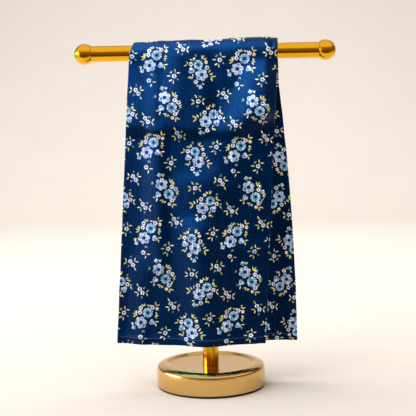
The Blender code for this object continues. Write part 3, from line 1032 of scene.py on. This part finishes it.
# The law of cosines gives how far the middle of the nearest petal is.
both = graph.math("MULTIPLY", ring, entry["Reach"])
reach_square = graph.math("MULTIPLY", entry["Reach"], entry["Reach"])
squares = graph.math("MULTIPLY_ADD", ring, ring, reach_square)
crossed = graph.math("MULTIPLY", graph.math("MULTIPLY", both, graph.math("COSINE", swing)), -2.0)
from_petal = graph.math("SQRT", graph.math("MAXIMUM", graph.math("ADD", squares, crossed), 0.0))
petal_inside = graph.math("SUBTRACT", entry["Petal"], from_petal)
inside = graph.math("MAXIMUM", petal_inside, graph.math("SUBTRACT", entry["Fill"], ring))
inside = graph.math("MULTIPLY", inside, entry["Radius"])
graph.feed(leave["Cover"], graph.spread(inside, -EDGE_SOFT, EDGE_SOFT))
graph.feed(leave["Ring"], ring)
numbered = {"W": graph.math("FLOOR", graph.math("ADD", count, entry["Radius"]))}
whim = graph.node("ShaderNodeTexWhiteNoise", numbered, noise_dimensions="1D").outputs["Value"]
graph.feed(leave["Number"], whim)
graph.feed(leave["Rim"], graph.math("DIVIDE", from_petal, entry["Petal"]))

leaf_group, graph, entry, leave = new_group(
    "printed_leaf",
    [
        ("Vector", "vector"),
        ("Middle", "vector"),
        ("Aim", "vector"),
        ("Side", "vector"),
        ("Half length", "value"),
        ("Half width", "value"),
    ],
    [("Inside", "value")],
)
from_middle = graph.vector("SUBTRACT", entry["Vector"], entry["Middle"])
along = graph.vector("DOT_PRODUCT", from_middle, entry["Aim"])
run = graph.math("DIVIDE", along, entry["Half length"])
off = graph.math("ABSOLUTE", graph.vector("DOT_PRODUCT", from_middle, entry["Side"]))
taper = graph.math("SUBTRACT", 1.0, graph.math("MULTIPLY", run, run))
half_here = graph.math("MULTIPLY", taper, entry["Half width"])
graph.feed(leave["Inside"], graph.math("SUBTRACT", half_here, off))
print("groups:", flower_group.name, leaf_group.name)

# %% Printing colours and kinds of flower
LILAC = colour(226, 231, 246)
LILAC_SHADE = colour(64, 140, 202)
WHITE = colour(244, 238, 246)
AQUA = colour(198, 234, 255)
AQUA_SHADE = colour(92, 160, 208)
BLUE_HEART = colour(6, 44, 100)
WINE_HEART = colour(70, 14, 50)
CREAM = colour(250, 244, 226)
YELLOW = colour(250, 206, 70)
INKS = {
    "leaf": colour(230, 226, 124),
    "pale": colour(240, 240, 200),
    "faint": colour(150, 170, 150),
}

# columns: petals, reach, petal, fill, then petal colour, shade, heart colour, heart's share
KINDS = {
    "lilac": (6, 0.65, 0.36, 0.42, LILAC, LILAC_SHADE, BLUE_HEART, 0.28),
    "aqua": (10, 0.72, 0.25, 0.44, AQUA, AQUA_SHADE, BLUE_HEART, 0.30),
    "white": (5, 0.58, 0.44, 0.40, WHITE, WHITE, WINE_HEART, 0.34),
    "blue": (5, 0.58, 0.44, 0.40, LILAC, LILAC, BLUE_HEART, 0.36),
    "bud": (3, 0.42, 0.56, 0.60, LILAC, LILAC_SHADE, LILAC, 0.0),
    "cream": (5, 0.56, 0.46, 0.40, CREAM, CREAM, YELLOW, 0.40),
    "tiny": (4, 0.56, 0.46, 0.40, AQUA, AQUA_SHADE, AQUA, 0.0),
}
print("kinds of flower:", list(KINDS))

# %% Charts of the bunches and sprigs
# Each is composed round its middle: aim is an angle in degrees, counterclockwise from the
# right, and distance is in millimetres. Leaves grow in sprays, fanned evenly from one stem.
# columns for flowers: kind, aim, distance, radius, turn
# columns for sprays, under their ink: aim and distance of the stem, first leaf's aim, last
# leaf's aim, number of leaves, their length
TALL_BUNCH = (
    (
        ("tiny", 228, 17, 2.5, 0.1),
        ("blue", 110, 11, 2.5, 0.2),
        ("white", 130, 7, 2.5, 0.6),
        ("white", 50, 15, 2.5, 0.4),
        ("cream", 35, 18, 2.0, 0.3),
        ("bud", -30, 11, 3.5, 0.7),
        ("aqua", 50, 7, 6.0, 0.0),
        ("lilac", 245, 7, 7.0, 0.25),
    ),
    {
        "leaf": (
            (165, 8, 120, 210, 3, 5.5),
            (92, 12, 75, 130, 2, 4.0),
            (47, 19, 15, 90, 2, 5.0),
            (10, 13, -60, 0, 2, 4.0),
            (-25, 15, -80, -80, 1, 4.0),
        ),
        "pale": (
            (150, 9, 105, 165, 2, 3.0),
            (65, 14, 40, 140, 2, 3.0),
            (15, 14, 30, 75, 2, 3.0),
            (-20, 14, 5, 5, 1, 4.5),
            (215, 14, 180, 225, 2, 3.5),
        ),
        "faint": (
            (270, 15, 240, 300, 2, 3.0),
            (82, 13, 85, 85, 1, 2.0),
        ),
    },
)
WIDE_BUNCH = (
    (
        ("tiny", 240, 18, 2.5, 0.5),
        ("blue", 130, 9, 2.5, 0.9),
        ("white", 10, 12, 2.5, 0.2),
        ("white", 262, 13, 2.5, 0.5),
        ("cream", 100, 12, 2.0, 0.8),
        ("bud", -25, 9, 3.8, 0.1),
        ("aqua", 50, 7, 5.5, 0.5),
        ("lilac", 215, 5, 7.0, 0.7),
    ),
    {
        "leaf": (
            (180, 14, 150, 225, 2, 6.0),
            (165, 10, 100, 100, 1, 4.5),
            (75, 13, 60, 90, 2, 5.0),
            (35, 13, -15, -15, 1, 5.5),
            (0, 15, -50, -50, 1, 4.5),
            (-65, 11, -40, -40, 1, 4.5),
            (250, 15, 240, 270, 2, 3.0),
        ),
        "pale": (
            (175, 12, 125, 125, 1, 4.5),
            (82, 13, 130, 130, 1, 4.0),
            (38, 13, 30, 65, 2, 3.5),
            (2, 15, 40, 40, 1, 3.5),
            (-70, 10, -70, 60, 2, 3.5),
            (232, 14, 185, 185, 1, 3.5),
        ),
        "faint": (
            (50, 16, 25, 45, 2, 3.0),
        ),
    },
)
TWIN_SPRIG = (
    (
        ("blue", 130, 2.6, 2.5, 0.9),
        ("white", -50, 2.6, 2.5, 0.3),
    ),
    {
        "leaf": (
            (220, 4, 255, 255, 1, 4.5),
            (125, 5.5, 120, 120, 1, 4.5),
            (-15, 6, 50, 50, 1, 4.5),
        ),
        "pale": (
            (210, 4, 180, 180, 1, 4.5),
            (-18, 6, -60, -60, 1, 4.5),
        ),
        "faint": (
            (35, 4.5, 80, 150, 2, 2.5),
            (-75, 6, 250, 250, 1, 3.0),
        ),
    },
)
LONE_SPRIG = (
    (
        ("blue", 0, 0, 2.6, 0.4),
    ),
    {
        "leaf": (
            (200, 4.5, 210, 210, 1, 4.5),
            (120, 4, 120, 120, 1, 4.5),
            (10, 4, 45, 45, 1, 4.5),
        ),
        "pale": (
            (185, 4.5, 145, 145, 1, 4.5),
            (0, 4, -55, -55, 1, 4.5),
        ),
        "faint": (
            (70, 4.5, 20, 120, 3, 2.5),
            (262, 4, 255, 255, 1, 3.0),
        ),
    },
)
BARE_SPRIG = (
    (
        ("blue", 0, 0, 2.6, 0.1),
    ),
    {
        "leaf": (
            (-20, 4, 0, 0, 1, 4.5),
        ),
        "pale": (
            (-45, 4.5, -105, -105, 1, 4.0),
        ),
    },
)
print("bunches:", [len(chart[0]) for chart in (TALL_BUNCH, WIDE_BUNCH)], "flowers")


# %% How a chart is drawn
LEAF_WIDTH = (0.36, 0.08)  # half a leaf's width: the first, plus the second times its length
SHADED_PETALS = (0.45, 0.80)  # a petal whose random number is above these is shaded
SHADE_SPOT = (0.95, 0.45)  # that shade runs from a petal's rim, at 1, in to its middle, at 0
BETWEEN_PETALS, BETWEEN_SHADE = (0.80, 1.05), 0.8
HEART_EDGE = (-0.04, 0.06)


def polar(aim, distance=1.0):
    """A place on the print, from the direction and the distance that lead to it."""
    turn = math.radians(aim)
    return Vector((math.cos(turn), math.sin(turn), 0.0)) * distance


def draw_leaves(graph, place, sprays):
    """The colour of a chart's leaves, and where they cover the ground."""
    shade, cover = INKS["leaf"], 0.0
    for ink, rows in sprays.items():
        inside = None
        for aim, distance, first, last, leaves, length in rows:
            for leaf_aim in np.linspace(first, last, leaves):
                onward = polar(leaf_aim)
                leaf = graph.use(
                    leaf_group,
                    Vector=place,
                    Middle=polar(aim, distance) + onward * length / 2,
                    Aim=onward,
                    Side=polar(leaf_aim + 90),
                    Half_length=length / 2,
                    Half_width=LEAF_WIDTH[0] + LEAF_WIDTH[1] * length,
                )["Inside"]
                inside = leaf if inside is None else graph.math("MAXIMUM", inside, leaf)
        mask = graph.spread(inside, -EDGE_SOFT, EDGE_SOFT)
        shade = graph.mix(mask, shade, INKS[ink])
        cover = graph.math("MAXIMUM", cover, mask)
    return shade, cover


def draw_flowers(graph, place, flowers, under):
    """Flowers over the colour and the cover of what lies under them."""
    shade, cover = under
    for kind, aim, distance, radius, turn in flowers:
        petals, reach, petal, fill, light, dark, heart, heart_share = KINDS[kind]
        bloom = graph.use(
            flower_group,
            Vector=place,
            Centre=polar(aim, distance),
            Radius=radius,
            Petals=float(petals),
            Reach=reach,
            Petal=petal,
            Fill=fill,
            Turn=turn,
        )
        tint = light
        if dark != light:
            chosen = graph.spread(bloom["Number"], *SHADED_PETALS)
            spot = graph.spread(bloom["Rim"], *SHADE_SPOT)
            between = graph.spread(bloom["Rim"], *BETWEEN_PETALS, 0.0, BETWEEN_SHADE)
            shaded = graph.math("MAXIMUM", graph.math("MULTIPLY", chosen, spot), between)
            tint = graph.mix(shaded, light, dark)
        if heart_share:
            edge = [heart_share + v for v in HEART_EDGE]
            middle = graph.spread(bloom["Ring"], *edge, 1.0, 0.0)
            tint = graph.mix(middle, tint, heart)
        shade = graph.mix(bloom["Cover"], shade, tint)
        cover = graph.math("MAXIMUM", cover, bloom["Cover"])
    return shade, cover


print("inks of the leaves:", list(INKS))


# %% Bunch and sprig groups
def chart_group(name, chart):
    """A group that draws one chart round its middle."""
    group, graph, entry, leave = new_group(
        name, [("Vector", "vector")], [("Colour", "colour"), ("Cover", "value")]
    )
    leaves = draw_leaves(graph, entry["Vector"], chart[1])
    drawn = draw_flowers(graph, entry["Vector"], chart[0], leaves)
    graph.feed(leave["Colour"], drawn[0])
    graph.feed(leave["Cover"], drawn[1])
    return group


# The order of each list is the number that the repeat's tables use for a kind.
bunches = [chart_group("tall_bunch", TALL_BUNCH), chart_group("wide_bunch", WIDE_BUNCH)]
sprigs = [
    chart_group("bare_sprig", BARE_SPRIG),
    chart_group("lone_sprig", LONE_SPRIG),
    chart_group("twin_sprig", TWIN_SPRIG),
]
print("nodes:", {group.name: len(group.nodes) for group in bunches + sprigs})

# %% [markdown]
# The repeat holds four bunches and seven sprigs. Each row of the tables says where one lies
# in the repeat, how far it is turned and whether it is mirrored. The Wrap operation folds the
# whole cloth back to within half a repeat of each one, and the nearest wins. Ink never lands
# quite where it is meant to, so a noise of a fraction of a millimetre makes the outlines wobble.

# %% The repeat
MM = 1000.0  # millimetres in a metre; the charts are in millimetres
WOBBLE_SCALE = 1.6
REPEAT = (98.0, 97.0)
PRINT_ORIGIN = (-57.0, -33.0)  # a bunch lies here on the flat towel
# columns: x, y, turn in degrees, mirrored, kind
BUNCHES = (
    (0, 0, 0, 1, 0),
    (53, -10, -25, -1, 1),
    (20, -46, -110, 1, 0),
    (66, -63, 0, 1, 1),
)
SPRIGS = (
    (32, 15, 0, 1, 2),
    (25, -17, 60, 1, 1),
    (-3, -23, 0, 1, 0),
    (-16, -36, 180, 1, 2),
    (53, -44, 0, 1, 1),
    (75, 3, 60, 1, 1),
    (-4, -67, 0, 1, 2),
)


print("in a repeat:", len(BUNCHES), "bunches and", len(SPRIGS), "sprigs")


# %% The whole print
def nearest(graph, place, rows):
    """Turns place into the frame of the nearest row: returns that, and the row's kind."""
    best, best_length, best_turn, best_tags = None, None, None, None
    half = Vector((REPEAT[0] / 2, REPEAT[1] / 2, 1.0))
    for x, y, turn, mirrored, kind in rows:
        middle = Vector((x, y, 0.0))
        wrapped = graph.vector("WRAP", place, middle + half, middle - half)
        local = graph.vector("SUBTRACT", wrapped, middle)
        length = graph.vector("LENGTH", local)
        turn_back, tags = math.radians(-turn), (mirrored, 1.0, kind)
        if best is None:
            best, best_length, best_turn, best_tags = local, length, turn_back, tags
            continue
        closer = graph.math("LESS_THAN", length, best_length)
        best = graph.mix(closer, best, local, "vector")
        best_turn = graph.mix(closer, best_turn, turn_back, "value")
        best_tags = graph.mix(closer, best_tags, tags, "vector")
        best_length = graph.math("MINIMUM", length, best_length)
    feeds = {"Vector": best, "Angle": best_turn}
    upright = graph.node("ShaderNodeVectorRotate", feeds, rotation_type="Z_AXIS").outputs[0]
    flips = graph.vector("MULTIPLY", best_tags, (1.0, 1.0, 0.0))
    return graph.vector("MULTIPLY", upright, flips), graph.axes(best_tags)["Z"]


def draw_kinds(graph, place, kind, groups):
    """The colour and cover of whichever group has the number kind."""
    first = graph.use(groups[0], Vector=place)
    shade, cover = first["Colour"], first["Cover"]
    for number, group in enumerate(groups[1:], 1):
        drawn = graph.use(group, Vector=place)
        chosen = graph.math("GREATER_THAN", kind, number - 0.5)
        shade = graph.mix(chosen, shade, drawn["Colour"])
        cover = graph.mix(chosen, cover, drawn["Cover"], "value")
    return shade, cover


calico_print, graph, entry, leave = new_group(
    "calico_print",
    [("Vector", "vector"), ("Wobble", "value"), ("Ground", "colour")],
    [("Colour", "colour"), ("Ink", "value")],
)
place = graph.vector("SUBTRACT", graph.scaled(entry["Vector"], MM), (*PRINT_ORIGIN, 0.0))
feeds = {"Vector": place, "Scale": WOBBLE_SCALE, "Detail": 1.0}
jitter = graph.node("ShaderNodeTexNoise", feeds).outputs["Color"]
jitter = graph.scaled(graph.vector("SUBTRACT", jitter, (0.5, 0.5, 0.5)), entry["Wobble"])
place = graph.vector("MULTIPLY", graph.vector("ADD", place, jitter), (1.0, 1.0, 0.0))

sprig_shade, sprig_cover = draw_kinds(graph, *nearest(graph, place, SPRIGS), sprigs)
shade = graph.mix(sprig_cover, entry["Ground"], sprig_shade)
bunch_shade, bunch_cover = draw_kinds(graph, *nearest(graph, place, BUNCHES), bunches)
graph.feed(leave["Colour"], graph.mix(bunch_cover, shade, bunch_shade))
graph.feed(leave["Ink"], graph.math("MAXIMUM", sprig_cover, bunch_cover))
print("print nodes:", len(calico_print.nodes), "in a repeat of", REPEAT, "mm")

# %% [markdown]
# ## Cotton
#
# Plain-woven cotton has two sets of threads, each a little uneven, so it shows faint streaks
# both ways and a fine grain. **woven_cotton** gives the grain as a height for the Bump node and
# the streaks as a shade that multiplies the printed colour. Pressed navy cotton has a faint blue
# gloss, which is the shader's specular tint, and a soft bloom of fibres, which is its sheen.

# %% Shared finish: woven cotton
LENGTHWAYS, CROSSWAYS = (1.0, 0.05, 1.0), (0.06, 1.0, 1.0)  # draw noise out along the threads
THREAD_SCALE, GRAIN_SCALE = 620.0, 700.0
CROSSWAYS_SHARE, GRAIN_SHARE, WEAVE_SHARE = 0.6, 1.1, 0.5
EVEN_CLOTH = 1.35  # what the noises add up to on average

woven_cotton, graph, entry, leave = new_group(
    "woven_cotton",
    [("Vector", "vector"), ("Threads", "value"), ("Slub", "value")],
    [("Shade", "value"), ("Height", "value")],
)
drawn = [graph.vector("MULTIPLY", entry["Vector"], way) for way in (LENGTHWAYS, CROSSWAYS)]
lengthways, crossways = (graph.speckle(way, THREAD_SCALE) for way in drawn)
grain = graph.speckle(entry["Vector"], GRAIN_SCALE, roughness=0.7)
threads = graph.scaled(entry["Vector"], entry["Threads"])
parts = graph.axes(threads)
weft = graph.math("SINE", parts["X"])
warp = graph.math("SINE", parts["Y"])
weave = graph.math("MULTIPLY", weft, warp)
streaks = graph.math("ADD", lengthways, graph.math("MULTIPLY", crossways, CROSSWAYS_SHARE))
uneven = graph.math("MULTIPLY_ADD", grain, GRAIN_SHARE, streaks)
off_even = graph.math("SUBTRACT", uneven, EVEN_CLOTH)
graph.feed(leave["Shade"], graph.math("MULTIPLY_ADD", off_even, entry["Slub"], 1.0))
graph.feed(leave["Height"], graph.math("MULTIPLY_ADD", weave, WEAVE_SHARE, uneven))
print("group:", woven_cotton.name)

# %% Navy cotton
NAVY = colour(0, 22, 54)
THREAD_ANGLE = 2 * math.pi / 0.0009  # one turn for each pair of threads

navy_cotton, graph, shader = new_material(
    "navy_cotton",
    Roughness=0.44,
    Specular_IOR_Level=0.35,
    Specular_Tint=colour(0, 125, 240),
    Sheen_Weight=0.10,
    Sheen_Roughness=0.5,
    Sheen_Tint=colour(50, 130, 235),
)
cloth_place = graph.node("ShaderNodeUVMap", uv_map="flat_cloth").outputs["UV"]
cotton = graph.use(woven_cotton, Vector=cloth_place, Threads=THREAD_ANGLE, Slub=2.4)
printed = graph.use(calico_print, Vector=cloth_place, Wobble=0.5, Ground=NAVY)
shade = graph.mix(1.0, printed["Colour"], cotton["Shade"], blend_type="MULTIPLY")
graph.feed(shader.inputs["Base Color"], shade)
graph.bump(shader, cotton["Height"], distance=0.0006, strength=0.4)
towel.data.materials.append(navy_cotton)
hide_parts("towel")
print("towel material:", navy_cotton.name)

# %% [markdown]
# ## Stitches
#
# The end hems are sewn with a straight stitch in pale thread. At this size a painted dash
# would do from afar, but a raised thread catches light like the real one, so every stitch is a
# small capsule laid on the cloth with the same functions that shaped it.

# %% Rows of stitches
STITCH_PITCH = 0.0027
STITCH_LENGTH = 0.0019
STITCH_UP = 0.0078  # from the hem's lower edge
STITCH_RADIUS = 0.00022
STITCH_SIDES = 6
STITCH_PROUD = 0.3  # share of its radius by which a stitch's middle stands off the cloth
FIRST_STITCH = 0.003  # from the folded edge
ROW_SHORT = 0.004  # a row of stitches is this much shorter than the hem
LAP_MARGIN = 0.002  # clear of the lapped layer's free edge
# columns: share of the way along a stitch, share of its radius
STITCH_SHAPE = ((0.0, 0.1), (0.12, 0.75), (0.5, 1.0), (0.88, 0.75), (1.0, 0.1))


def stitch_row(side, layer):
    """Points down the middle of each stitch across one face of a hem."""
    level = hem_of(side)[1] + STITCH_UP
    left, right = panel_edges(side, level)
    width = right - left
    count = int((width - ROW_SHORT) / STITCH_PITCH)
    starts = FIRST_STITCH + STITCH_PITCH * np.arange(count)
    if layer == "lapped":
        starts = starts[starts > LAPPED_SHORT + LAP_MARGIN]
    line = section(width, HEM_SHEET, HEM_PITCH)
    outer = line[np.abs(line[:, 0] - line[:, 3]) < 1e-9]
    proud = STITCH_RADIUS * STITCH_PROUD
    stitches = []
    for start in starts:
        across = start + STITCH_LENGTH * np.array([share for share, _ in STITCH_SHAPE])
        out = np.full_like(across, -proud)
        if layer == "outer":
            out = np.interp(across, outer[:, 0], outer[:, 1]) + HEM_SHEET / 2 + proud
        stitches.append(panel_place(side, level, across / width, out)[0])
    return stitches


print("stitches across the front hem:", len(stitch_row(-1, "outer")))

# %% Hem stitching
THREAD_TONES = (colour(76, 98, 140), colour(124, 142, 176))


def thread_mesh(name, stitches):
    """Stitches as small capsules, all in one piece."""
    verts, faces = [], []
    last = (len(STITCH_SHAPE) - 1) * STITCH_SIDES
    for points in stitches:
        run = Vector(points[-1] - points[0]).normalized()
        up = Vector((0.0, 0.0, 1.0))
        out = run.cross(up).normalized()
        start = len(verts)
        for point, (_, fullness) in zip(points, STITCH_SHAPE):
            for k in range(STITCH_SIDES):
                turn = 2 * math.pi * k / STITCH_SIDES
                spoke = (up * math.cos(turn) + out * math.sin(turn)) * STITCH_RADIUS * fullness
                verts.append(Vector(point) + spoke)
        for row in range(len(STITCH_SHAPE) - 1):
            for k in range(STITCH_SIDES):
                j = (k + 1) % STITCH_SIDES
                a, b = start + row * STITCH_SIDES, start + (row + 1) * STITCH_SIDES
                faces.append((a + k, a + j, b + j, b + k))
        faces.append([start + k for k in reversed(range(STITCH_SIDES))])
        faces.append([start + last + k for k in range(STITCH_SIDES)])
    return add_mesh(name, verts, faces)


rows = [stitch_row(side, layer) for side in (-1, 1) for layer in ("outer", "lapped")]
stitching = thread_mesh("hem_stitching", [stitch for row in rows for stitch in row])

thread, graph, shader = new_material("sewing_thread", Roughness=0.7)
twist = graph.speckle(graph.object_place(), 2600.0, 1.0)
graph.feed(shader.inputs["Base Color"], graph.mix(twist, *THREAD_TONES))
stitching.data.materials.append(thread)
print("stitches:", [len(row) for row in rows])

# %% [markdown]
# ## Flags between the lights and the cloth
#
# A photographer sets black cards, called flags, so that one lamp lights the product and another
# lights the set. Light linking does that here. The raking window and the front card reach only
# the towel and bring out its folds, and the raking sky shows only as its gloss. The other lamps
# leave the towel out, so its folds aren't washed flat by the light that a pale counter needs.

# %% Light linking
for name, *_, lit in LIGHTS:
    flagged = bpy.data.collections.new(f"{name}_receivers")
    for piece in (towel, stitching):
        flagged.objects.link(piece)
    if lit == "set":
        for member in flagged.collection_objects:
            member.light_linking.link_state = "EXCLUDE"
    boxes[name].light_linking.receiver_collection = flagged
print("lamps kept off the towel:", [name for name, *_, lit in LIGHTS if lit == "set"])

# %% [markdown]
# ## One body
#
# Every piece rides on the one body.

# %% Attach to the body
for piece in (gold_bar, *balls, gold_post, gold_foot, foot_pad, towel, stitching):
    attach(piece, "root")
